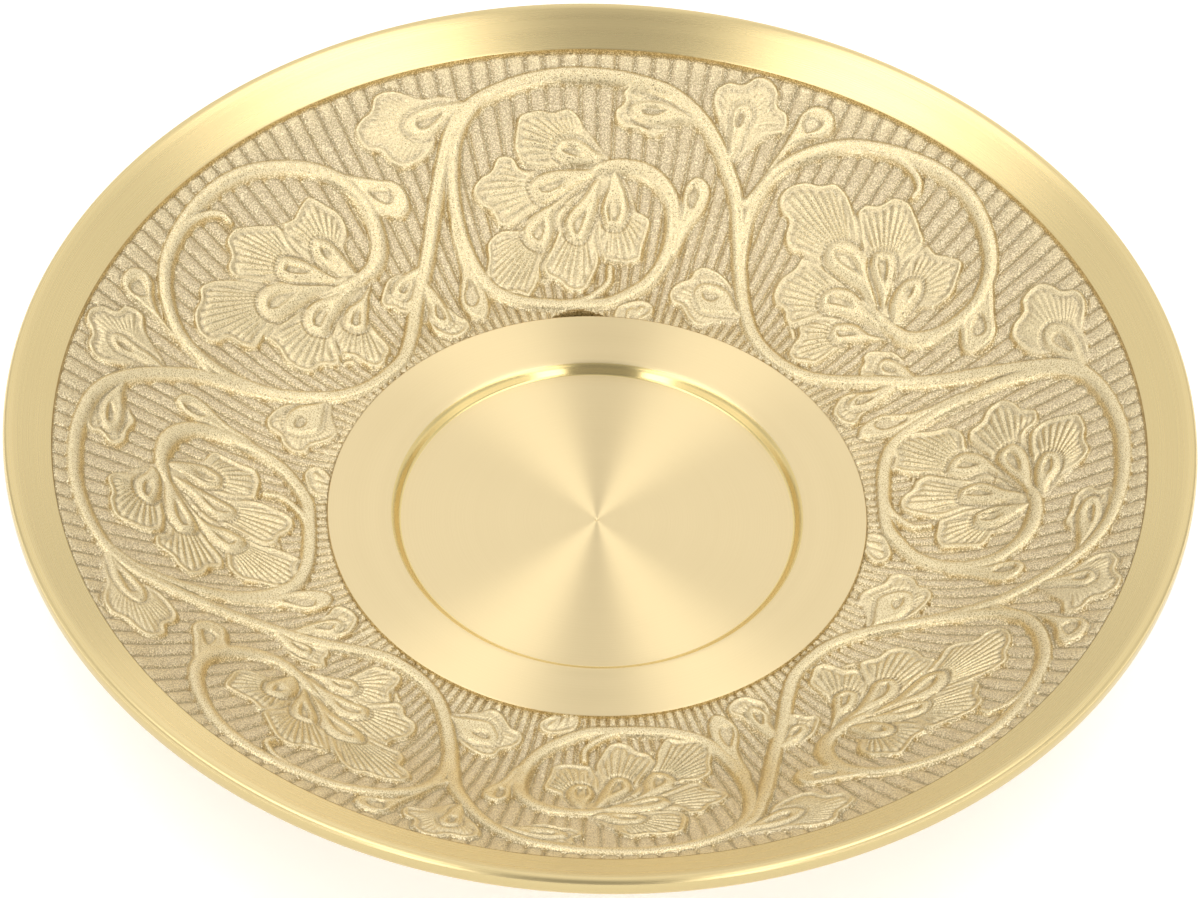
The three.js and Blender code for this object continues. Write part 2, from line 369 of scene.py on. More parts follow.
# Foliage. Each place is a turn in degrees and a share of the band's width, which runs from 0 at
# the turned centre to 1 at the turned rim.
WAVE_VINE = [
    (-5, 0.885), (0, 0.912), (6, 0.92), (12, 0.895), (17, 0.845), (19.8, 0.78), (22.3, 0.67), (25.2, 0.54),
    (28.3, 0.415), (31, 0.33), (35, 0.235), (40, 0.125), (45, 0.06), (50, 0.045), (55, 0.055),
    (60, 0.1), (64.5, 0.195), (67.5, 0.3), (70, 0.42), (72.5, 0.56), (75, 0.655), (77.3, 0.735),
    (80, 0.81), (82.5, 0.857), (85, 0.885), (90, 0.912), (96, 0.92),
]
UPPER_SCROLL = [
    (62, 0.145), (66.4, 0.26), (69, 0.4), (69.9, 0.53), (69, 0.66), (66.4, 0.76), (62, 0.85),
    (56, 0.905), (50, 0.925), (45, 0.905), (40, 0.84), (36.8, 0.77), (34.8, 0.68), (34.3, 0.58),
    (35.4, 0.48), (38, 0.42), (41.5, 0.405), (44.5, 0.41), (47.5, 0.425),
]
LOWER_SCROLL = [
    (15.5, 0.865), (19, 0.77), (21.3, 0.64), (22.7, 0.48), (22.8, 0.32), (21, 0.18), (17, 0.112),
    (11, 0.076), (5, 0.067), (0, 0.075), (-4, 0.12), (-7.4, 0.185), (-9.5, 0.29), (-9.8, 0.41),
    (-8.6, 0.51), (-5.6, 0.58), (-1.5, 0.605), (2, 0.59), (5, 0.555),
]
UPPER_HOOK = [(60, 0.87), (56, 0.89), (53, 0.875), (51.4, 0.84), (51.3, 0.805)]
LOWER_HOOK = [(10, 0.07), (5, 0.08), (2, 0.115), (-0.3, 0.17), (-0.4, 0.23)]

# The two palmettes: hub, plate at the back, lobes, the loop that each lobe's veins spring from,
# and loops, with the furthest back first
UPPER_HUB = (42.5, 0.42)
UPPER_PLATE = [
    (40.5, 0.46), (40, 0.6), (43, 0.68), (50, 0.73), (55, 0.67), (62, 0.66), (63, 0.52), (58, 0.42),
    (58.5, 0.28), (51, 0.14), (46, 0.16), (43.5, 0.3), (40, 0.38),
]
UPPER_LOBES = [
    [(41, 0.5), (38.3, 0.57), (38, 0.63), (39, 0.68), (40.5, 0.735), (42.5, 0.72), (44, 0.7),
     (46, 0.7), (46.7, 0.65), (46, 0.57), (45, 0.5), (43, 0.44)],
    [(44.5, 0.27), (44.7, 0.2), (45.3, 0.12), (47, 0.1), (49, 0.08), (51, 0.09), (52, 0.13),
     (52.3, 0.18), (53.8, 0.22), (53, 0.27), (50, 0.33), (45, 0.36)],
    [(55, 0.45), (58, 0.46), (60, 0.46), (60.3, 0.4), (61.3, 0.35), (61.2, 0.29), (60, 0.25),
     (57.5, 0.235), (56.5, 0.21), (54.5, 0.2), (53, 0.24), (51, 0.3), (47, 0.38), (49, 0.44)],
    [(46, 0.55), (46.5, 0.62), (46.3, 0.7), (48, 0.735), (49.5, 0.76), (51.5, 0.785),
     (53.5, 0.77), (54.5, 0.725), (56, 0.705), (56.5, 0.66), (54.5, 0.6), (50, 0.5), (46, 0.47)],
    [(52, 0.55), (55, 0.62), (57, 0.67), (59, 0.71), (61, 0.725), (62.5, 0.7), (64.5, 0.69),
     (66.5, 0.65), (67, 0.6), (66, 0.56), (64.5, 0.54), (64, 0.49), (62.5, 0.45), (60, 0.455),
     (56, 0.45), (49, 0.44)],
]
UPPER_SPRINGS = (4, 0, 1, 3, 2)
UPPER_LOOPS = [
    [(39.5, 0.38), (43, 0.35), (46, 0.345), (48.7, 0.3), (48.3, 0.25), (46, 0.235), (44, 0.27),
     (41.5, 0.33)],
    [(42, 0.4), (46, 0.415), (50, 0.435), (53, 0.41), (54.2, 0.36), (52.5, 0.31), (49, 0.33),
     (45, 0.36), (42, 0.375)],
    [(45, 0.43), (48, 0.5), (53, 0.57), (56, 0.565), (57.7, 0.52), (56.5, 0.46), (50, 0.44)],
    [(43.6, 0.43), (45, 0.5), (47, 0.58), (49, 0.615), (51.2, 0.58), (50.5, 0.53), (47, 0.47)],
    [(41, 0.42), (40.8, 0.5), (41.5, 0.57), (43.2, 0.605), (44.8, 0.57), (45, 0.51), (43.6, 0.45)],
]
LOWER_HUB = (0.5, 0.59)
LOWER_PLATE = [
    (-2, 0.57), (-4.5, 0.42), (-4, 0.3), (1, 0.29), (3.5, 0.18), (8, 0.18), (14, 0.18), (19, 0.2),
    (18, 0.38), (16, 0.42), (17, 0.56), (12, 0.66), (10, 0.76), (4, 0.75), (1, 0.66),
]
LOWER_LOBES = [
    [(-1, 0.53), (-3.5, 0.47), (-6.2, 0.43), (-6.2, 0.38), (-5.8, 0.32), (-5.6, 0.275),
     (-3.5, 0.248), (-1, 0.25), (1, 0.26), (2, 0.32), (2, 0.4), (1.4, 0.5)],
    [(3, 0.7), (4, 0.77), (5.5, 0.805), (7.5, 0.795), (9, 0.805), (11.5, 0.79), (12.3, 0.74),
     (12.8, 0.67), (12, 0.62), (8, 0.6), (3, 0.61), (1, 0.65)],
    [(12, 0.6), (13, 0.65), (15, 0.66), (16.5, 0.615), (18, 0.6), (19.5, 0.56), (19, 0.5),
     (17.7, 0.47), (17, 0.42), (15.5, 0.41), (12, 0.45), (4, 0.54), (4, 0.6)],
    [(13.5, 0.4), (17, 0.405), (19.5, 0.37), (20.3, 0.31), (21.5, 0.25), (21.7, 0.18),
     (20, 0.15), (17, 0.14), (15, 0.12), (13, 0.16), (10.5, 0.28), (6, 0.46), (8, 0.48)],
    [(1.6, 0.5), (2, 0.35), (1.3, 0.26), (2.5, 0.18), (4, 0.13), (6, 0.12), (8, 0.14), (9, 0.17),
     (11, 0.2), (11.5, 0.24), (10, 0.3), (7, 0.42), (4, 0.53)],
]
LOWER_SPRINGS = (4, 0, 1, 2, 3)
LOWER_LOOPS = [
    [(1, 0.64), (2, 0.655), (4.5, 0.7), (7, 0.695), (7.9, 0.65), (6.5, 0.612), (2, 0.6)],
    [(2, 0.6), (3, 0.598), (9, 0.592), (11.6, 0.55), (11, 0.49), (9, 0.475), (4, 0.53), (2, 0.57)],
    [(2.6, 0.56), (8, 0.45), (8.7, 0.36), (10.5, 0.305), (13, 0.325), (13.8, 0.38), (12, 0.44),
     (7, 0.5)],
    [(1.3, 0.57), (2.2, 0.43), (4.4, 0.325), (6.5, 0.34), (6.9, 0.42), (4, 0.5), (2.6, 0.55)],
    [(-1.4, 0.56), (-2.9, 0.45), (-1.7, 0.38), (0.5, 0.385), (1.4, 0.45), (0.6, 0.53),
     (-0.2, 0.59)],
]

# Side leaves: outline, loop and the hollow in the loop
SIDE_LEAVES = [
    ([(17, 0.86), (20, 0.905), (22.5, 0.915), (24.5, 0.95), (26, 0.965), (27.6, 0.955), (28.6, 0.915),
      (30, 0.9), (31.2, 0.87), (31.4, 0.83), (30.8, 0.785), (29.4, 0.765), (28.8, 0.72),
      (27.5, 0.69), (25.5, 0.69), (23.5, 0.71), (22.3, 0.74), (21.5, 0.78), (18, 0.83)],
     [(16, 0.86), (19.5, 0.872), (22, 0.877), (24.5, 0.86), (25.7, 0.82), (25.2, 0.782),
      (23.5, 0.765), (21.5, 0.78), (19, 0.82)],
     [(20.6, 0.838), (22.4, 0.838), (23.7, 0.83), (23.8, 0.81), (22.8, 0.803)]),
    ([(29, 0.37), (30.5, 0.38), (33, 0.365), (35.5, 0.37), (37.5, 0.36), (39, 0.335),
      (40.6, 0.3), (40.6, 0.265), (39.5, 0.25), (39, 0.225), (37.5, 0.205), (36, 0.23),
      (33, 0.29)],
     [(30, 0.36), (32, 0.36), (35, 0.35), (37.3, 0.325), (37.8, 0.295), (37, 0.27),
      (35.5, 0.265), (33.5, 0.3), (31, 0.33)],
     [(34.2, 0.315), (35.4, 0.312), (36.4, 0.298), (36.2, 0.287), (35, 0.292)]),
    ([(32.5, 0.29), (31, 0.24), (30.2, 0.19), (29.4, 0.12), (28.2, 0.085), (28.6, 0.05), (31, 0.025),
      (33.5, 0.03), (35, 0.06), (36, 0.1), (35.5, 0.14), (34.5, 0.19), (33.5, 0.25)],
     [(31.6, 0.3), (30.8, 0.25), (30.6, 0.2), (30.8, 0.13), (31.6, 0.095), (32.8, 0.085),
      (34.2, 0.11), (34.6, 0.16), (33.6, 0.2), (33.2, 0.26)],
     [(32.1, 0.19), (31.9, 0.15), (32.5, 0.125), (33.3, 0.14), (32.9, 0.17)]),
    ([(63, 0.13), (65, 0.18), (67, 0.235), (69, 0.27), (72, 0.295), (74, 0.295), (75.3, 0.27),
      (75.7, 0.235), (77, 0.215), (78.2, 0.18), (78.4, 0.14), (77.3, 0.11), (75.5, 0.1),
      (74, 0.07), (72, 0.04), (70, 0.035), (68, 0.06), (66, 0.09)],
     [(63, 0.14), (65, 0.17), (68, 0.225), (71, 0.24), (73.5, 0.225), (74.3, 0.18), (73, 0.13),
      (71, 0.1), (68, 0.11), (65, 0.13)],
     [(69.4, 0.185), (71, 0.198), (72.3, 0.19), (71.8, 0.168), (70.4, 0.163)]),
    ([(79, 0.78), (80, 0.81), (82, 0.86), (84, 0.88), (86, 0.885), (88.5, 0.885), (89.2, 0.86),
      (89, 0.83), (90, 0.8), (89.9, 0.765), (88.7, 0.735), (87, 0.73), (85, 0.71), (83.5, 0.735),
      (82.5, 0.76), (80, 0.765)],
     [(79.5, 0.78), (81, 0.81), (84, 0.84), (86.5, 0.84), (88.2, 0.815), (88, 0.78),
      (86.5, 0.755), (84, 0.755), (82, 0.77)],
     [(84, 0.811), (85.4, 0.815), (86.6, 0.808), (86.6, 0.795), (85, 0.792)]),
    ([(74.6, 0.66), (73.5, 0.69), (72.5, 0.73), (71, 0.79), (69.5, 0.815), (69.3, 0.85),
      (69.9, 0.89), (71.2, 0.905), (71.6, 0.95), (73, 0.985), (74.5, 0.985), (75.8, 0.95),
      (77.5, 0.945), (78.7, 0.91), (78.7, 0.86), (77.8, 0.81), (76.5, 0.76), (75.6, 0.71)],
     [(74.8, 0.67), (74, 0.72), (73.8, 0.79), (73.6, 0.85), (74.4, 0.885), (75.5, 0.88),
      (76.3, 0.85), (76, 0.79), (75.6, 0.72)],
     [(74.9, 0.8), (74.7, 0.84), (75.1, 0.85), (75.4, 0.84), (75.3, 0.8)]),
]

# Stem ends: outline and hollow
BUDS = [
    ([(38, 0.82), (34.5, 0.745), (31.2, 0.69), (29.4, 0.668), (28.4, 0.635), (28.2, 0.59), (28.8, 0.55),
      (30, 0.532), (31.6, 0.545), (33, 0.565), (34.8, 0.57), (35.2, 0.64), (36.8, 0.74)],
     [(30.3, 0.63), (30.5, 0.603), (31.3, 0.595), (32.3, 0.615), (33, 0.655), (31.6, 0.65)]),
    ([(-11, 0.3), (-12.5, 0.42), (-13.8, 0.5), (-14, 0.55), (-13.2, 0.59), (-11.5, 0.605),
      (-10.2, 0.57), (-10, 0.52), (-10.2, 0.46), (-9.6, 0.4), (-9, 0.32)],
     [(-12.2, 0.53), (-11.9, 0.56), (-11.4, 0.565), (-11, 0.54), (-11.2, 0.5), (-11.8, 0.49)]),
    ([(23.4, 0.5), (24.4, 0.45), (24.9, 0.36), (25.5, 0.28), (26.8, 0.225), (28, 0.17), (28, 0.12),
      (27, 0.075), (25.4, 0.06), (23.8, 0.08), (22.8, 0.12), (22.4, 0.17), (22.6, 0.24),
      (23.1, 0.31), (22.8, 0.42)],
     [(24.5, 0.245), (24.2, 0.19), (24.7, 0.15), (25.8, 0.135), (26.8, 0.15), (26.6, 0.185),
      (25.6, 0.215)]),
    ([(72, 0.53), (70.9, 0.6), (69.3, 0.75), (68.7, 0.85), (68.5, 0.9), (67.6, 0.94), (66, 0.95),
      (64.7, 0.93), (64.2, 0.89), (64.8, 0.85), (66.5, 0.82), (68, 0.77), (69.5, 0.66),
      (70.5, 0.52)],
     [(65.9, 0.87), (65.7, 0.895), (66.6, 0.907), (67.7, 0.9), (67.7, 0.865), (67, 0.845)]),
]

# Leaf that the turned centre cuts, and its root under the centre
CENTRE_LEAF_ROOT = (86, -0.1)
CENTRE_LEAF = [(88, 0.06), (85, 0.095), (82.5, 0.105), (80.5, 0.085), (80, 0.05), (81.5, 0.01),
               (85, -0.03), (88, -0.02)]


def bowl_rise(radius):
    """Height of the turned surface over the centre disc, at a plan radius"""
    flare_start = DISC_RADIUS + BOWL_ARC_RADIUS * math.sin(FLARE_ANGLE)
    out = np.clip(radius - DISC_RADIUS, 0, flare_start - DISC_RADIUS)
    arc = BOWL_ARC_RADIUS - np.sqrt(BOWL_ARC_RADIUS ** 2 - out ** 2)
    return arc + np.clip(radius - flare_start, 0, None) * math.tan(FLARE_ANGLE)


def smooth_step(value, start, end):
    share = np.clip((value - start) / (end - start), 0, 1)
    return share * share * (3 - 2 * share)


def soft_max(one, other, blend):
    share = np.clip(0.5 + 0.5 * (one - other) / blend, 0, 1)
    return other + (one - other) * share + blend * share * (1 - share)


def ridge(value, middle, width):
    return np.exp(-(((value - middle) / width) ** 2))


def plan_points(places, shift=0.0):
    """Plan points in millimetres of places on the band, turned on by some degrees"""
    turn, share = np.array(places, dtype=float).T
    radius = DISC_RADIUS + share * BAND_WIDTH
    angle = np.radians(turn + shift)
    return np.stack([radius * np.cos(angle), radius * np.sin(angle)], axis=1)


def mix(one, other, start, end, t):
    return (end - t) / (end - start) * one + (t - start) / (end - start) * other


def smooth_line(points, closed, steps=OUTLINE_STEPS):
    """A smooth curve through the points, closed or from end to end"""
    if closed:
        padded = np.vstack([points[-1:], points, points[:2]])
    else:
        padded = np.vstack([2 * points[:1] - points[1:2], points, 2 * points[-1:] - points[-2:-1]])
    curve = []
    for a, b, c, d in zip(padded[:-3], padded[1:-2], padded[2:-1], padded[3:]):
        ta = 0.0
        tb = ta + math.sqrt(np.linalg.norm(b - a))
        tc = tb + math.sqrt(np.linalg.norm(c - b))
        td = tc + math.sqrt(np.linalg.norm(d - c))
        t = np.linspace(tb, tc, steps, endpoint=False)[:, None]
        ab = mix(a, b, ta, tb, t)
        bc = mix(b, c, tb, tc, t)
        cd = mix(c, d, tc, td, t)
        curve.append(mix(mix(ab, bc, ta, tc, t), mix(bc, cd, tb, td, t), tb, tc, t))
    curve = np.vstack(curve)
    return np.vstack([curve, curve[:1] if closed else points[-1:]])


# Grid of one repeat, from turn to turn and from the turned centre to the turned rim
TURNS = np.arange(REPEAT_STEPS) * REPEAT_TURN / REPEAT_STEPS
SHARES = np.concatenate([[0.0], np.linspace(FIRST_SHARE, 1 - FIRST_SHARE, BAND_STEPS - 2), [1.0]])
RADII = DISC_RADIUS + SHARES * BAND_WIDTH
PLAN_X = RADII * np.cos(np.radians(TURNS))[:, None]
PLAN_Y = RADII * np.sin(np.radians(TURNS))[:, None]


def windows(places):
    """For each shift of a repeat that reaches the grid: the shift and the window round the places"""
    turn, share = np.array(places, dtype=float).T
    low = np.searchsorted(SHARES, share.min() - WINDOW_SHARE)
    high = np.searchsorted(SHARES, share.max() + WINDOW_SHARE)
    for shift in (-REPEAT_TURN, 0.0, REPEAT_TURN):
        first = np.searchsorted(TURNS, turn.min() + shift - WINDOW_TURN)
        last = np.searchsorted(TURNS, turn.max() + shift + WINDOW_TURN)
        if first < last and low < high:
            yield shift, (slice(first, last), slice(low, high))


def line_distance(line, window):
    """Distance in plan to a line, and how far along the line its nearest point is"""
    x, y = PLAN_X[window], PLAN_Y[window]
    nearest = np.full(x.shape, np.inf)
    along = np.zeros(x.shape)
    lengths = np.linalg.norm(np.diff(line, axis=0), axis=1)
    passed = np.concatenate([[0.0], np.cumsum(lengths)])
    for k, (start, end) in enumerate(zip(line[:-1], line[1:])):
        step = end - start
        share = ((x - start[0]) * step[0] + (y - start[1]) * step[1]) / max(lengths[k] ** 2, 1e-12)
        share = np.clip(share, 0, 1)
        distance = np.hypot(x - start[0] - share * step[0], y - start[1] - share * step[1])
        closer = distance < nearest
        nearest[closer] = distance[closer]
        along[closer] = passed[k] + share[closer] * lengths[k]
    return nearest, along / passed[-1]


def inner_distance(places, shift, window):
    """Distance in plan to the smooth outline through the places, positive inside it"""
    line = smooth_line(plan_points(places, shift), True)
    x, y = PLAN_X[window], PLAN_Y[window]
    inside = np.zeros(x.shape, dtype=bool)
    for (ax, ay), (bx, by) in zip(line[:-1], line[1:]):
        if ay != by:
            inside ^= ((ay > y) != (by > y)) & (x < (bx - ax) * (y - ay) / (by - ay) + ax)
    distance, _ = line_distance(line, window)
    return np.where(inside, distance, -distance)


def distance_from(place, places, shift, window):
    """Distance in plan from a place, and that of the furthest of the places from it"""
    (x, y), = plan_points([place], shift)
    reach = np.linalg.norm(plan_points(places, shift) - (x, y), axis=1).max()
    return np.hypot(PLAN_X[window] - x, PLAN_Y[window] - y), reach


def carved(base, inward, depth, middle, width):
    """A groove along an outline, only where the relief under it stands up from the ground"""
    return depth * ridge(inward, middle, width) * smooth_step(base, *CARVED_HEIGHTS)


def laid(base, surface, inward, cover, groove):
    """The relief with a surface laid over it inside an outline, and the groove round it"""
    share = smooth_step(inward, *cover)
    return base * (1 - share) + surface * share - groove


def reeded_ground():
    """Rounded reeds with narrow valleys, which run up towards the turned edges"""
    phase = (TURNS[:, None] / REED_TURN) % 1
    crest = (1 - np.abs(2 * phase - 1) ** REED_FULLNESS) ** REED_ROUNDNESS
    crest = crest - REED_DIP * ridge(phase, 0.5, REED_DIP_WIDTH)
    edge = np.minimum(SHARES, 1 - SHARES) * BAND_WIDTH
    end = 1 - np.clip((1 - SHARES) * BAND_WIDTH / REED_END, 0, 1)
    rounded = np.sqrt(np.clip(1 - end ** 2, 0, 1))
    ground = REED_VALLEY + REED_RISE * crest * rounded
    return ground + EDGE_RISE * (1 - smooth_step(edge, 0, EDGE_REACH))


def lay_lobe(height, places, hub, spring, level, veins):
    """A lobe of a leaf: a domed plate, rolled at its outer edge and creased at its sides, with
    veins that fan out from their spring and fade before the edge"""
    vein_pitch, vein_rise = veins
    for shift, window in windows(places):
        inward = inner_distance(places, shift, window)
        from_hub, reach = distance_from(hub, places, shift, window)
        outer = smooth_step(from_hub, *np.multiply(LOBE_OUTER, reach))
        (spring_x, spring_y), = plan_points([spring], shift)
        fan_x, fan_y = PLAN_X[window] - spring_x, PLAN_Y[window] - spring_y
        phase = np.arctan2(fan_y, fan_x) * VEIN_FAN * reach / vein_pitch
        crests = VEIN_CREST - np.abs(2 * (phase % 1) - 1) ** VEIN_SHARPNESS
        shown = smooth_step(inward, *VEIN_MARGIN) * smooth_step(np.hypot(fan_x, fan_y), *VEIN_START)
        shown *= VEIN_LEAST + (1 - VEIN_LEAST) * smooth_step(from_hub, *np.multiply(VEIN_FULL, reach))
        roll = ROLL_RISE * ridge(inward, *ROLL) - TROUGH_DEPTH * ridge(inward, *TROUGH)
        crease = CREASE_DEPTH * (1 - smooth_step(inward, 0, CREASE_REACH))
        plate = level + DOME_RISE * smooth_step(inward, 0, DOME_REACH)
        plate += outer * roll
        plate -= (1 - outer) * crease
        plate += vein_rise * crests * shown
        base = height[window]
        groove = carved(base, inward, LOBE_GROOVE_DEPTH * outer, *LOBE_GROOVE)
        height[window] = laid(base, plate, inward, LOBE_COVER, groove)


def lay_loop(height, places, hub):
    """A drop-shaped loop: a rounded rib that runs into the hub, with a thick rolled rim round the
    narrow hollow in its head"""
    for shift, window in windows(places):
        from_hub, reach = distance_from(hub, places, shift, window)
        free = smooth_step(from_hub, *LOOP_FREE)
        head = smooth_step(from_hub, *np.multiply(LOOP_HEAD, reach))
        inward = inner_distance(places, shift, window) - LOOP_SLIMMING * free
        half = max(inward.max(), LOOP_LEAST_HALF)
        rounded = np.clip(1 - inward / (LOOP_EDGE_SHARE * half), 0, LOOP_EDGE_END)
        loop = LOOP_LEVEL - LOOP_EDGE_DROP * rounded ** LOOP_ROUNDNESS
        base = height[window]
        loop = np.maximum(loop, base - LOOP_SUNK * free)
        loop -= LOOP_HOLLOW_DEPTH * head * smooth_step(inward, *np.multiply(LOOP_HOLLOW, half))
        groove = carved(base, inward, LOOP_GROOVE_DEPTH, *LOOP_GROOVE) * free
        height[window] = laid(base, loop, inward, LOOP_COVER, groove)


def lay_pad(height, places, hollow, level):
    """A raised pad with rounded edges and a hollow pressed into it"""
    for shift, window in windows(places):
        inward = inner_distance(places, shift, window)
        rounded = 1 - np.clip(inward / PAD_EDGE_REACH, 0, 1)
        pad = level - PAD_EDGE_DROP * rounded ** PAD_ROUNDNESS
        pad -= PAD_DISH_DEPTH * smooth_step(inward, *PAD_DISH)
        pad -= PAD_HOLLOW_DEPTH * smooth_step(inner_distance(hollow, shift, window), *PAD_HOLLOW)
        base = height[window]
        groove = carved(base, inward, PAD_GROOVE_DEPTH, *PAD_GROOVE)
        height[window] = laid(base, pad, inward, PAD_COVER, groove)


def lay_vine(height, places, widths):
    """A vine with a rounded crown, its width running evenly through the given ones"""
    for shift, window in windows(places):
        line = smooth_line(plan_points(places, shift), False, VINE_STEPS)
        distance, along = line_distance(line, window)
        half = np.interp(along, np.linspace(0, 1, len(widths)), widths) / 2
        across = np.clip(distance / half, 0, VINE_REACH)
        crown = VINE_LEVEL - VINE_ROUNDING * across ** 2 - VINE_SHOULDER * across ** 4
        crown -= VINE_FALL * np.clip(across - VINE_FOOT, 0, None)
        height[window] = soft_max(crown, height[window], VINE_BLEND)


def middle_of(places):
    turn, share = np.array(places, dtype=float).T
    return turn.mean(), share.mean()


def foliage_relief():
    """Height over the sunk ground, in millimetres, of one repeat of the band"""
    height = reeded_ground()
    lay_lobe(height, CENTRE_LEAF, CENTRE_LEAF_ROOT, CENTRE_LEAF_ROOT, CENTRE_LEAF_LEVEL, LOBE_VEINS)
    lay_vine(height, UPPER_HOOK, HOOK_WIDTHS)
    lay_vine(height, LOWER_HOOK, HOOK_WIDTHS)
    for outline, loop, hollow in SIDE_LEAVES:
        lay_lobe(height, outline, loop[0], middle_of(loop), LOBE_LEVEL, LEAF_VEINS)
        lay_pad(height, loop, hollow, LEAF_LOOP_LEVEL)
    for outline, hollow in BUDS:
        lay_pad(height, outline, hollow, BUD_LEVEL)
    for hub, plate, lobes, springs, loops, scroll in (
        (UPPER_HUB, UPPER_PLATE, UPPER_LOBES, UPPER_SPRINGS, UPPER_LOOPS, UPPER_SCROLL),
        (LOWER_HUB, LOWER_PLATE, LOWER_LOBES, LOWER_SPRINGS, LOWER_LOOPS, LOWER_SCROLL),
    ):
        lay_lobe(height, plate, hub, hub, PLATE_LEVEL, PLATE_VEINS)
        for k, (lobe, spring) in enumerate(zip(lobes, springs)):
            level = LOBE_LEVEL + LOBE_STEP * (k % 2)
            lay_lobe(height, lobe, hub, middle_of(loops[spring]), level, LOBE_VEINS)
        lay_vine(height, scroll, SCROLL_WIDTHS)
        for loop in loops:
            lay_loop(height, loop, hub)
    lay_vine(height, WAVE_VINE, VINE_WIDTHS)
    return height


def softened(values, reach):
    """The values blurred round the dish and across the band"""
    offsets = np.arange(-2 * reach, 2 * reach + 1)
    weights = np.exp(-((offsets / reach) ** 2))
    weights /= weights.sum()
    columns = np.arange(values.shape[1])
    around = np.zeros_like(values)
    for offset, weight in zip(offsets, weights):
        around += weight * np.roll(values, offset, axis=0)
    across = np.zeros_like(values)
    for offset, weight in zip(offsets, weights):
        across += weight * around[:, np.clip(columns - offset, 0, columns[-1])]
    return across


def cast_skin(shape):
    """Unevenness of the casting, in millimetres: a slow waviness and a sandy grain"""
    chance = np.random.default_rng(SKIN_SEED)
    waves = softened(chance.standard_normal(shape), WAVE_REACH)
    grain = softened(chance.standard_normal(shape), GRAIN_REACH)
    return WAVE_SIZE * waves / waves.std() + GRAIN_SIZE * grain / grain.std()


def relief_of_band():
    """Height over the sunk ground, in millimetres, all round the dish, with its pit, its cast skin
    and its proud places cut level with the turned faces"""
    height = np.concatenate([foliage_relief()] * REPEATS, axis=0)
    turn = np.arange(len(height))[:, None] * 360 / len(height)
    lens = PIT_WIDTH * np.sqrt(np.clip(1 - ((turn - PIT_TURN) / PIT_REACH) ** 2, 0, 1))
    pit = (1 - smooth_step(SHARES - lens, -PIT_EDGE, PIT_EDGE)) * (lens > 0)
    height += (PIT_LEVEL - height) * pit
    height = height + cast_skin(height.shape)
    edge = np.minimum(SHARES, 1 - SHARES) * BAND_WIDTH
    height = np.minimum(height, GROUND_DEPTH + CUT_RISE * smooth_step(edge, *CUT_MARGIN))
    height[:, 0] = GROUND_DEPTH
    height[:, -1] = GROUND_DEPTH
    return height


def new_piece(name, mesh, finish, node):
    """A visible piece of the dish, shown in place of the solid in a node"""
    piece = bpy.data.objects.new(name, mesh)
    bpy.context.scene.collection.objects.link(piece)
    mesh.materials.append(finish)
    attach(piece, "root")
    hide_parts(node)


def with_supports(section):
    """The section with a point on each run just past the rounding at its ends, which keeps the
    shading of wide faces even"""
    supported = []
    for corner, following in zip(section, section[1:] + section[:1]):
        supported.append(corner)
        start, end = Vector(corner[:2]), Vector(following[:2])
        run = (end - start).length
        near = SUPPORT_REACH * corner[2] + SUPPORT_GAP if corner[2] else 0
        far = SUPPORT_REACH * following[2] + SUPPORT_GAP if following[2] else 0
        if near + far > SUPPORT_LIMIT * run or (start.x == 0 and end.x == 0):
            continue
        for distance in [near] * bool(near) + [run - far] * bool(far):
            radius, height = start.lerp(end, distance / run)
            supported.append((radius, height, 0))
    return supported


def lies_on_ring(corner, radius, height):
    return (
        abs(math.hypot(corner.co.x, corner.co.y) - radius * MM) < RING_SLACK * MM
        and abs(corner.co.z - height * MM) < RING_SLACK * MM
    )


def turned_piece(name, section, finish, node):
    """A turned piece: a closed section, given as radius, height and rounding of each corner"""
    section = with_supports(section)
    shape = bmesh.new()
    corners = [shape.verts.new((radius * MM, 0, height * MM)) for radius, height, _ in section]
    runs = [shape.edges.new(pair) for pair in zip(corners, corners[1:])]
    if section[0][0] > 0:
        runs.append(shape.edges.new((corners[-1], corners[0])))
    bmesh.ops.spin(
        shape, geom=corners + runs, cent=(0, 0, 0), axis=(0, 0, 1), angle=2 * math.pi,
        steps=TURNED_STEPS, use_merge=True,
    )
    bmesh.ops.remove_doubles(shape, verts=shape.verts, dist=WELD * MM)
    bmesh.ops.recalc_face_normals(shape, faces=shape.faces)
    for radius, height, rounding in section:
        if not rounding:
            continue
        ring = [
            edge for edge in shape.edges
            if all(lies_on_ring(corner, radius, height) for corner in edge.verts)
        ]
        bmesh.ops.bevel(
            shape, geom=ring, offset=rounding * MM, offset_type="OFFSET", affect="EDGES",
            segments=ROUNDING_STEPS, profile=0.5, material=-1,
        )
    mesh = smooth_mesh(name, shape)
    mesh.set_sharp_from_angle(angle=SHARP_ANGLE)
    new_piece(name, mesh, finish, node)


def smooth_mesh(name, shape):
    for face in shape.faces:
        face.smooth = True
    mesh = bpy.data.meshes.new(name)
    shape.to_mesh(mesh)
    shape.free()
    return mesh


def back_height(radius):
    """Height of the cast back of the bowl, one wall thickness under its face"""
    flare_start = DISC_RADIUS + BACK_ARC_RADIUS * math.sin(FLARE_ANGLE)
    out = min(radius, flare_start) - DISC_RADIUS
    rise = BOWL_ARC_RADIUS - math.sqrt(BACK_ARC_RADIUS ** 2 - out ** 2)
    return DISC_TOP + rise + max(radius - flare_start, 0) * math.tan(FLARE_ANGLE)


def back_tilt(radius):
    """Angle between the cast back and the level"""
    out = np.clip(radius - DISC_RADIUS, 0, BACK_ARC_RADIUS * math.sin(FLARE_ANGLE))
    return np.arcsin(out / BACK_ARC_RADIUS)


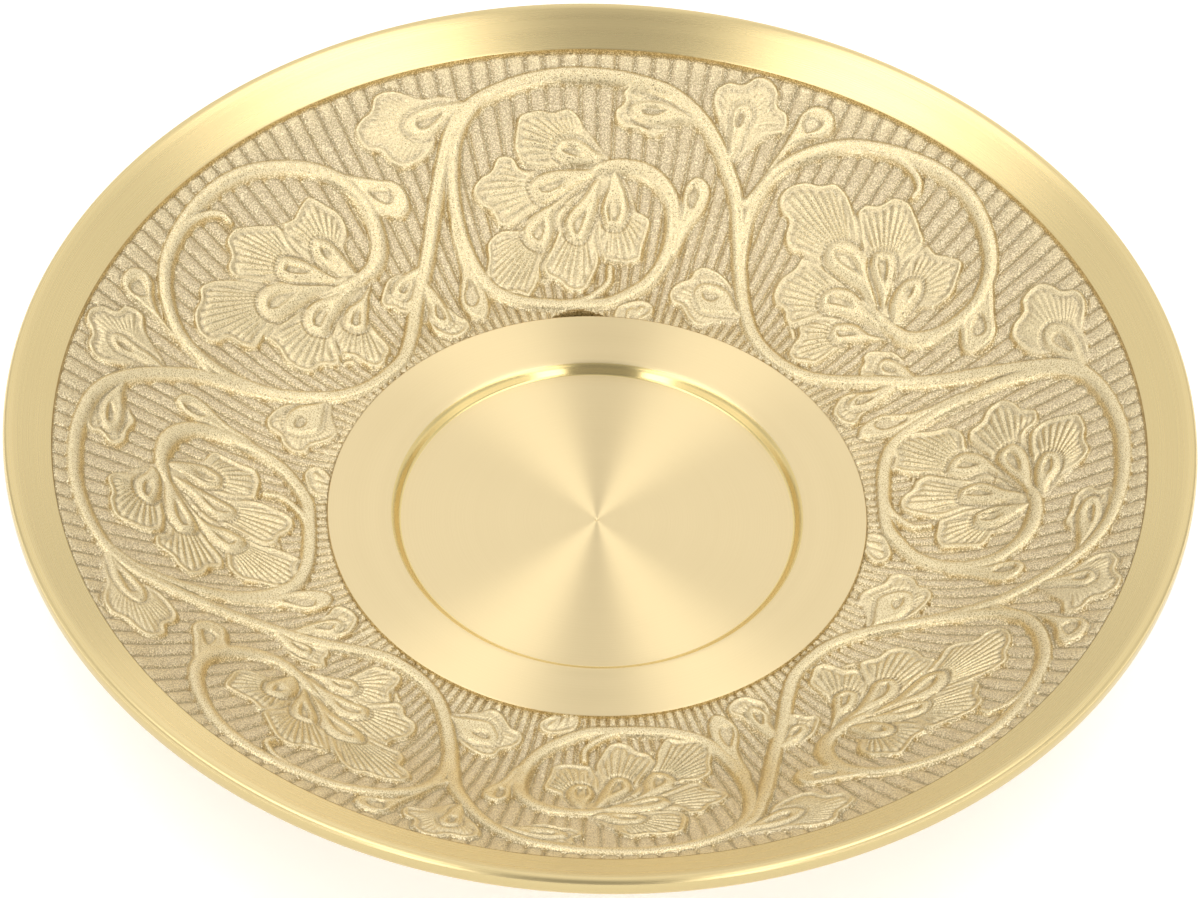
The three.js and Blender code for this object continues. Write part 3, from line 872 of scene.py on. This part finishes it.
def band_back():
    """Underside of the band from the rim inwards, then up the joint with the centre"""
    radii = np.linspace(RIM_INNER_RADIUS, BOSS_RADIUS, BACK_STEPS)
    return [(radius, back_height(radius)) for radius in radii] + [
        (BOSS_RADIUS, BOSS_BOTTOM),
        (FOOT_RADIUS + SOLDER_GAP, BOSS_BOTTOM),
        (FOOT_RADIUS + SOLDER_GAP, SEAT_TOP),
        (DISC_RADIUS, SEAT_TOP),
    ]


def band_blank():
    """One eighth of the band, spun from its section, with each corner's place in the section"""
    shape = bmesh.new()
    place = shape.verts.layers.int.new("place")
    corners = []
    for radius, height in [(radius, DISC_TOP + bowl_rise(radius)) for radius in RADII] + band_back():
        corner = shape.verts.new((radius * MM, 0, height * MM))
        corner[place] = len(corners)
        corners.append(corner)
    side = shape.faces.new(corners)
    bmesh.ops.spin(
        shape, geom=[*corners, *side.edges, side], cent=(0, 0, 0), axis=(0, 0, 1),
        angle=2 * math.pi / SECTORS, steps=SECTOR_STEPS,
    )
    bmesh.ops.recalc_face_normals(shape, faces=shape.faces)
    return smooth_mesh("band_blank", shape)


def values_of(data, key, width=1, kind=np.float64):
    found = np.empty(len(data) * width, dtype=kind)
    data.foreach_get(key, found)
    return found.reshape(-1, width) if width > 1 else found


def slopes(surface):
    """Slopes of a surface over the whole band, along the turn and outwards"""
    step = 2 * math.pi / len(surface)
    along = (np.roll(surface, -1, 0) - np.roll(surface, 1, 0)) / (2 * step * RADII)
    return along, np.gradient(surface, RADII, axis=1)


def foliage_band(finish):
    """The cast band as eight closed solids that meet on radial joints, with custom normals from the
    relief and with what the brass's colour depends on at each corner"""
    height = relief_of_band()
    nook = height - softened(height, NOOK_REACH)
    steep = smooth_step(np.hypot(*slopes(height)), *STEEP_SLOPES)
    level = DISC_TOP + bowl_rise(RADII) + (height - GROUND_DEPTH)
    along, outward = slopes(level)
    step = 2 * math.pi / len(height)

    blank = band_blank()
    place = values_of(blank.attributes["place"].data, "value", kind=np.int32)
    start = values_of(blank.vertices, "co", 3)
    turn = np.rint(np.arctan2(start[:, 1], start[:, 0]) / step).astype(int)
    radius = np.hypot(start[:, 0], start[:, 1]) / MM
    tilt = back_tilt(radius)
    on_face = place < len(SHARES)
    on_back = (place >= len(SHARES)) & (place < len(SHARES) + BACK_STEPS)
    across = np.where(on_face, place, 0)

    corner = values_of(blank.loops, "vertex_index", kind=np.int32)
    first = values_of(blank.polygons, "loop_start", kind=np.int32)
    count = values_of(blank.polygons, "loop_total", kind=np.int32)
    flat = np.repeat(values_of(blank.polygons, "normal", 3), count, axis=0)
    all_face = np.repeat(np.logical_and.reduceat(on_face[corner], first), count)
    all_back = np.repeat(np.logical_and.reduceat(on_back[corner], first), count)

    for sector in range(SECTORS):
        mesh = blank.copy()
        mesh.name = f"foliage_band_{sector + 1}"
        around = (turn + sector * SECTOR_STEPS) % len(height)
        angle = (turn + sector * SECTOR_STEPS) * step
        cosine, sine = np.cos(angle), np.sin(angle)
        up = np.where(on_face, level[around, across] * MM, start[:, 2])
        points = np.stack([radius * MM * cosine, radius * MM * sine, up], axis=1)
        mesh.vertices.foreach_set("co", points.ravel())

        rise_out, rise_along = outward[around, across], along[around, across]
        lean_x = -rise_out * cosine + rise_along * sine
        lean_y = -rise_out * sine - rise_along * cosine
        normals = np.stack([lean_x, lean_y, np.ones(len(around))], axis=1)
        normals /= np.linalg.norm(normals, axis=1, keepdims=True)
        under = np.stack([np.sin(tilt) * cosine, np.sin(tilt) * sine, -np.cos(tilt)], axis=1)
        turned_on = Matrix.Rotation(sector * 2 * math.pi / SECTORS, 3, "Z")
        shading = flat @ np.array(turned_on).T
        shading[all_face] = normals[corner][all_face]
        shading[all_back] = under[corner][all_back]
        mesh.update()
        mesh.normals_split_custom_set(shading)

        for name, values in (
            ("rise", np.where(on_face, height[around, across], 0.0)),
            ("nook", np.where(on_face, nook[around, across], 0.0)),
            ("steep", np.where(on_face, steep[around, across], 0.0)),
            ("behind", np.where(on_back, 1.0, 0.0)),
        ):
            mesh.attributes.new(name, "FLOAT", "POINT").data.foreach_set("value", values)
        new_piece(mesh.name, mesh, finish, "dish_body")
    bpy.data.meshes.remove(blank)


class Value:
    """A shader socket whose arithmetic adds Math nodes"""

    def __init__(self, finish, socket):
        self.finish = finish
        self.socket = socket

    def maths(self, operation, *values):
        return self.finish.node("ShaderNodeMath", {"operation": operation}, dict(enumerate(values)))

    def magnitude(self):
        return self.maths("ABSOLUTE", self)

    def __add__(self, other):
        return self.maths("ADD", self, other)

    def __sub__(self, other):
        return self.maths("SUBTRACT", self, other)

    def __rsub__(self, other):
        return self.maths("SUBTRACT", other, self)

    def __mul__(self, other):
        return self.maths("MULTIPLY", self, other)

    __radd__ = __add__
    __rmul__ = __mul__


class Finish:
    """Adds nodes to the tree of a material or of the world"""

    def __init__(self, owner):
        owner.use_nodes = True
        self.tree = owner.node_tree
        self.tree.nodes.clear()

    def node(self, kind, settings=None, inputs=None, output=0):
        made = self.tree.nodes.new(kind)
        for name, setting in (settings or {}).items():
            setattr(made, name, setting)
        for name, value in (inputs or {}).items():
            if isinstance(value, Value):
                self.tree.links.new(value.socket, made.inputs[name])
            else:
                made.inputs[name].default_value = value
        return Value(self, made.outputs[output]) if made.outputs else None

    def object_place(self):
        return self.node("ShaderNodeTexCoord", output=3)

    def attribute(self, name):
        return self.node("ShaderNodeAttribute", {"attribute_name": name}, output=2)

    def noise(self, place, scale, detail=2.0, roughness=0.5):
        inputs = {"Vector": place, "Scale": scale, "Detail": detail, "Roughness": roughness}
        return self.node("ShaderNodeTexNoise", {}, inputs)

    def noise_along(self, distance, scale, detail):
        inputs = {"W": distance, "Scale": scale, "Detail": detail}
        return self.node("ShaderNodeTexNoise", {"noise_dimensions": "1D"}, inputs)

    def between(self, value, low, high, start=0.0, end=1.0):
        return self.node(
            "ShaderNodeMapRange", {"interpolation_type": "SMOOTHSTEP"},
            {"Value": value, "From Min": low, "From Max": high, "To Min": start, "To Max": end},
        )

    def patch(self, *edges):
        """One inside all the edges, each given as a value and the start and end of its change"""
        inside = 1.0
        for edge in edges:
            inside = inside * self.between(*edge)
        return inside

    def blend(self, factor, one, other):
        return self.node("ShaderNodeMix", {"data_type": "RGBA"}, {0: factor, 6: one, 7: other}, 2)

    def bump(self, height, distance):
        return self.node("ShaderNodeBump", {}, {"Height": height, "Distance": distance, "Strength": 1.0})

    def surface(self, **inputs):
        named = {name.replace("_", " "): value for name, value in inputs.items()}
        shader = self.node("ShaderNodeBsdfPrincipled", {}, named)
        self.node("ShaderNodeOutputMaterial", {}, {"Surface": shader})


def new_finish(name):
    material = bpy.data.materials.new(name)
    return material, Finish(material)


def cast_brass():
    """Sand-cast brass: duller and pinker in the ground, brighter and yellower on what stands proud, with
    tarnish and painted shade in the deep nooks, painted shade on steep flanks and painted glints on the
    sand grain
    """
    material, finish = new_finish("cast_brass")
    place = finish.object_place()
    rise = finish.attribute("rise")
    nook = finish.attribute("nook")
    steep = finish.attribute("steep")
    sand = finish.between(finish.noise(place, SAND_SCALE, detail=1.0), *SAND_CONTRAST)
    lumps = finish.noise(place, LUMP_SCALE, detail=1.0)
    cloud = finish.noise(place, CAST_CLOUD_SCALE, detail=3.0, roughness=0.6)

    proud = finish.between(rise + (sand - 0.5) * SAND_OVER_RISE, *PROUD_RISES)
    colour = finish.blend(proud, GROUND_COLOUR, CAST_COLOUR)
    colour = finish.blend(finish.between(nook, *RUBBED_NOOKS), colour, RUBBED_COLOUR)
    # Deep nooks darker: tarnish in the hollows together with painted shade
    colour = finish.blend(finish.between(nook, *SHADED_NOOKS, 0.0, NOOK_SHADE_STRENGTH), colour, NOOK_TARNISH_AND_SHADE)
    clouded = finish.between(cloud, *CLOUD_CONTRAST, 0.0, CLOUD_STRENGTH)
    colour = finish.blend(clouded, colour, CLOUD_COLOUR)
    sandy = finish.between(rise, *RELIEF_RISES, 1.0, SAND_ON_RELIEF) + SAND_ON_SIDES * steep
    # Painted shade: steep flanks darker and browner
    colour = finish.blend(FLANK_SHADE_STRENGTH * steep, colour, FLANK_SHADE_COLOUR)
    colour = finish.blend(finish.attribute("behind"), colour, BEHIND_COLOUR)
    # Painted glints: the brighter sand grains get a near-white colour
    painted_glint = finish.between(sand, 0.5, 1.0, 0.0, PAINTED_GLINT_STRENGTH)
    colour = finish.blend(painted_glint * sandy, colour, PAINTED_GLINT_COLOUR)
    grain = finish.between(sand, 0.5, 0.0, 0.0, GRAIN_STRENGTH)
    colour = finish.blend(grain * sandy, colour, GRAIN_COLOUR)
    colour = finish.blend(finish.between(rise, *PIT_RISES), colour, PIT_COLOUR)

    roughness = CAST_ROUGHNESS - PROUD_POLISH * proud + SAND_ROUGHNESS * (sand - 0.5)
    rough_cast = finish.between(rise, *RELIEF_RISES, 1.0, BUMP_ON_RELIEF) * (1 - SIDE_SMOOTHNESS * steep)
    normal = finish.bump((sand + LUMP_SHARE * lumps) * rough_cast, SAND_HEIGHT)
    finish.surface(Base_Color=colour, Metallic=1.0, Roughness=roughness, Normal=normal)
    return material


def turned_brass(
    name, colour, ring_colour, roughness, anisotropy, polished=0.0, reach=0.08, painted_shade_colour=None
):
    """Turned brass: fine concentric tool lines that stretch its highlights, and one ring of it,
    within reach of the polished radius, cut with a finer tool and coloured with painted shade where a
    colour is given"""
    material, finish = new_finish(name)
    place = finish.object_place()
    flat = finish.node("ShaderNodeVectorMath", {"operation": "MULTIPLY"}, {0: place, 1: (1, 1, 0)})
    radius = finish.node("ShaderNodeVectorMath", {"operation": "LENGTH"}, {0: flat}, 1)
    lines = finish.noise_along(radius, LINE_SCALE, detail=2.0)
    bands = finish.noise_along(radius, BAND_SCALE, detail=3.0)
    cloud = finish.noise(place, TARNISH_SCALE, detail=3.0)
    base = finish.blend(finish.between(lines, *LINE_CONTRAST, 0.0, LINE_STRENGTH), colour, ring_colour)
    clouded = finish.between(cloud, *TARNISH_CONTRAST, 0.0, TARNISH_STRENGTH)
    base = finish.blend(clouded, base, ring_colour)
    rough = roughness + LINE_ROUGHNESS * (lines - 0.5) + BAND_ROUGHNESS * (bands - 0.5)
    rough = rough + TARNISH_ROUGHNESS * (cloud - 0.5)
    from_ring = (radius - polished * MM).magnitude()
    on_ring = finish.between(from_ring, POLISH_FADE * reach * MM, reach * MM)
    rough = rough - POLISH * on_ring
    # On the ring the brass is smoother. Where a colour is given, the ring also takes it as painted shade.
    if painted_shade_colour:
        base = finish.blend(on_ring, base, painted_shade_colour)
    normal = finish.bump(lines + BAND_SHARE * bands, LINE_HEIGHT)
    finish.surface(
        Base_Color=base, Metallic=1.0, Roughness=rough, Anisotropic=anisotropy,
        Anisotropic_Rotation=ACROSS_THE_LINES, Normal=normal,
    )
    return material


def felt():
    """Dark green felt with short fibres in loose clumps"""
    material, finish = new_finish("felt")
    place = finish.object_place()
    fibres = finish.noise(place, FIBRE_SCALE, detail=4.0, roughness=0.7)
    clumps = finish.noise(place, CLUMP_SCALE, detail=2.0)
    colour = finish.blend(finish.between(fibres, *FIBRE_CONTRAST), FELT_DARK, FELT_LIGHT)
    clumped = finish.between(clumps, *CLUMP_CONTRAST, 0.0, CLUMP_STRENGTH)
    colour = finish.blend(clumped, colour, FELT_DARK)
    normal = finish.bump(fibres + clumps, FIBRE_HEIGHT)
    finish.surface(
        Base_Color=colour, Roughness=0.95, Normal=normal, Sheen_Weight=0.35, Sheen_Roughness=0.6
    )
    return material


# The rim's outer edge takes a darker painted shade colour
def dish_rim():
    finish = turned_brass(
        "turned_rim", RIM_COLOUR, RIM_RING_COLOUR, roughness=0.28, anisotropy=0.7,
        polished=RIM_RADIUS, reach=0.08, painted_shade_colour=RIM_EDGE_SHADE,
    )
    inner_level = DISC_TOP + float(bowl_rise(RIM_INNER_RADIUS))
    edge_level = DISC_TOP + float(bowl_rise(RIM_RADIUS)) - RIM_EDGE_CUT
    drop = WALL_THICKNESS / math.cos(FLARE_ANGLE)
    turned_piece("dish_rim", [
        (RIM_INNER_RADIUS, inner_level, RIM_INNER_ROUNDING),
        (RIM_INNER_RADIUS, inner_level - drop, 0),
        (RIM_RADIUS, edge_level - drop, RIM_LOWER_ROUNDING),
        (RIM_RADIUS, edge_level, RIM_UPPER_ROUNDING),
    ], finish, "dish_body")


def dish_centre():
    finish = turned_brass(
        "turned_centre", CENTRE_COLOUR, CENTRE_RING_COLOUR, roughness=0.35, anisotropy=0.95,
        polished=RECESS_RADIUS, reach=0.6, painted_shade_colour=RECESS_WALL_SHADE,
    )
    recess_floor = DISC_TOP - RECESS_DEPTH
    seat_inner = FOOT_RADIUS - FOOT_WIDTH - SOLDER_GAP
    turned_piece("dish_centre", [
        (0, BOSS_BOTTOM, 0),
        (seat_inner, BOSS_BOTTOM, SEAT_ROUNDING),
        (seat_inner, SEAT_TOP, 0),
        (DISC_RADIUS, SEAT_TOP, 0),
        (DISC_RADIUS, DISC_TOP, DISC_ROUNDING),
        (RECESS_RADIUS + RECESS_HALF_WALL, DISC_TOP, RECESS_UPPER_ROUNDING),
        (RECESS_RADIUS - RECESS_HALF_WALL, recess_floor, RECESS_LOWER_ROUNDING),
        (DIMPLE_RADIUS, recess_floor, 0),
        (0, recess_floor - DIMPLE_DEPTH, 0),
    ], finish, "dish_body")


def turned_foot():
    finish = turned_brass(
        "turned_foot", FOOT_COLOUR, FOOT_RING_COLOUR, roughness=0.3, anisotropy=0.5
    )
    inner = FOOT_RADIUS - FOOT_WIDTH
    groove = FELT_WIDTH / 2 + GLUE_GAP
    groove_top = FELT_THICKNESS + GLUE_GAP
    turned_piece("turned_foot", [
        (inner, FELT_PROUD, FOOT_CHAMFER),
        (FELT_RADIUS - groove, FELT_PROUD, GROOVE_ROUNDING),
        (FELT_RADIUS - groove, groove_top, 0),
        (FELT_RADIUS + groove, groove_top, 0),
        (FELT_RADIUS + groove, FELT_PROUD, GROOVE_ROUNDING),
        (FOOT_RADIUS, FELT_PROUD, FOOT_CHAMFER),
        (FOOT_RADIUS, SEAT_TOP - SOLDER_GAP, SEAT_ROUNDING),
        (inner, SEAT_TOP - SOLDER_GAP, SEAT_ROUNDING),
    ], finish, "foot_ring")


def felt_pad_ring():
    inner, outer = FELT_RADIUS - FELT_WIDTH / 2, FELT_RADIUS + FELT_WIDTH / 2
    turned_piece("felt_pad_ring", [
        (inner, 0, FELT_LOWER_ROUNDING),
        (outer, 0, FELT_LOWER_ROUNDING),
        (outer, FELT_THICKNESS, FELT_UPPER_ROUNDING),
        (inner, FELT_THICKNESS, FELT_UPPER_ROUNDING),
    ], felt(), "felt_ring")


def floor():
    """A pale floor that keeps the dish's shadow and looks white to the camera"""
    bpy.ops.mesh.primitive_plane_add(size=FLOOR_SIZE, location=(0, 0, -FLOOR_DROP))
    plane = bpy.context.object
    plane.name = "studio_floor"
    material, finish = new_finish("studio_floor")
    paper = finish.noise(finish.object_place(), PAPER_SCALE, detail=3.0)
    colour = finish.blend(finish.between(paper, *PAPER_CONTRAST), FLOOR_COLOUR, FLOOR_SHADE)
    path = finish.node("ShaderNodeLightPath").socket.node.outputs
    seen = Value(finish, path["Is Camera Ray"]) + Value(finish, path["Is Glossy Ray"])
    glow = (seen + Value(finish, path["Is Transmission Ray"])) * FLOOR_GLOW
    finish.surface(
        Base_Color=colour, Roughness=0.9, Specular_IOR_Level=0.1,
        Emission_Color=WHITE, Emission_Strength=glow,
    )
    plane.data.materials.append(material)


def lamps():
    """Two tall softboxes, one at either side"""
    for side, name in ((-1, "softbox_left"), (1, "softbox_right")):
        lamp = bpy.data.lights.new(name, "AREA")
        lamp.shape = "RECTANGLE"
        lamp.size, lamp.size_y = LAMP_SIZE
        lamp.energy = LAMP_POWER
        lamp.color = LAMP_COLOUR
        holder = bpy.data.objects.new(name, lamp)
        bpy.context.scene.collection.objects.link(holder)
        holder.location = (side * LAMP_PLACE[0], LAMP_PLACE[1], LAMP_PLACE[2])


def surroundings():
    """What the brass mirrors: a ceiling that is bright at the back, dim in front and dimmer near the
    horizon, two windows in front, a paler wall at either side, a glow at the back right and a white
    backdrop"""
    world = bpy.data.worlds.new("studio_surroundings")
    bpy.context.scene.world = world
    finish = Finish(world)
    direction = finish.node("ShaderNodeTexCoord", output=0)
    apart = finish.node("ShaderNodeSeparateXYZ", {}, {"Vector": direction})
    right, back, up = (Value(finish, output) for output in apart.socket.node.outputs)
    side = right.magnitude()

    shade = LOW_SHADE * finish.patch((up, *SHADE_LOW, 1.0, 0.0), (back, *SHADE_BACK))
    wide = 1 - (SIDE_SHADE + shade) * right * right
    low = finish.between(up, *CEILING_LOW, HORIZON_LEVEL, 1.0)
    gap = finish.patch((side, *GAP_SIDE, 1.0, 0.0), (up, *CEILING_HIGH))
    ceiling = finish.between(back, *CEILING_BACK, FRONT_LEVEL, BACK_LEVEL) * wide * low
    ceiling = ceiling - GAP_SHADE * gap

    window = finish.patch(
        (side, *WINDOW_INNER), (side, *WINDOW_OUTER, WINDOW_SIDE_SHARE), (back, *WINDOW_BACK),
        (up, *WINDOW_SILL), (up, *WINDOW_HEAD),
    )
    beside = finish.patch(
        (side, *BESIDE_INNER), (back, *BESIDE_BACK), (up, *BESIDE_SILL), (up, *BESIDE_HEAD)
    )
    corner = finish.patch(
        (right, *CORNER_LEFT), (right, *CORNER_RIGHT), (up, *CORNER_HEAD), (back, *CORNER_BACK)
    )
    ceiling = ceiling + WINDOW_LEVEL * window + BESIDE_LEVEL * beside + CORNER_LEVEL * corner

    strength = ceiling + finish.between(up, *BACKDROP_HEAD) * (1 - ceiling)
    background = finish.node("ShaderNodeBackground", {}, {"Color": WHITE, "Strength": strength})
    finish.node("ShaderNodeOutputWorld", {}, {"Surface": background})


def camera():
    """A long lens at the photograph's angle, as the fitted circles of the dish give it"""
    lens = bpy.data.cameras.new("studio_camera")
    lens.lens = CAMERA_LENS
    lens.sensor_width = CAMERA_SENSOR
    lens.clip_end = CAMERA_REACH
    holder = bpy.data.objects.new("studio_camera", lens)
    bpy.context.scene.collection.objects.link(holder)
    holder.matrix_world = (
        Matrix.Translation(CAMERA_PLACE)
        @ Matrix.Rotation(math.radians(90 - CAMERA_ELEVATION), 4, "X")
        @ Matrix.Rotation(math.radians(CAMERA_ROLL), 4, "Z")
    )
    bpy.context.scene.camera = holder
    bpy.context.scene.view_settings.view_transform = "Standard"


dish_rim()
dish_centre()
foliage_band(cast_brass())
turned_foot()
felt_pad_ring()
floor()
lamps()
surroundings()
camera()
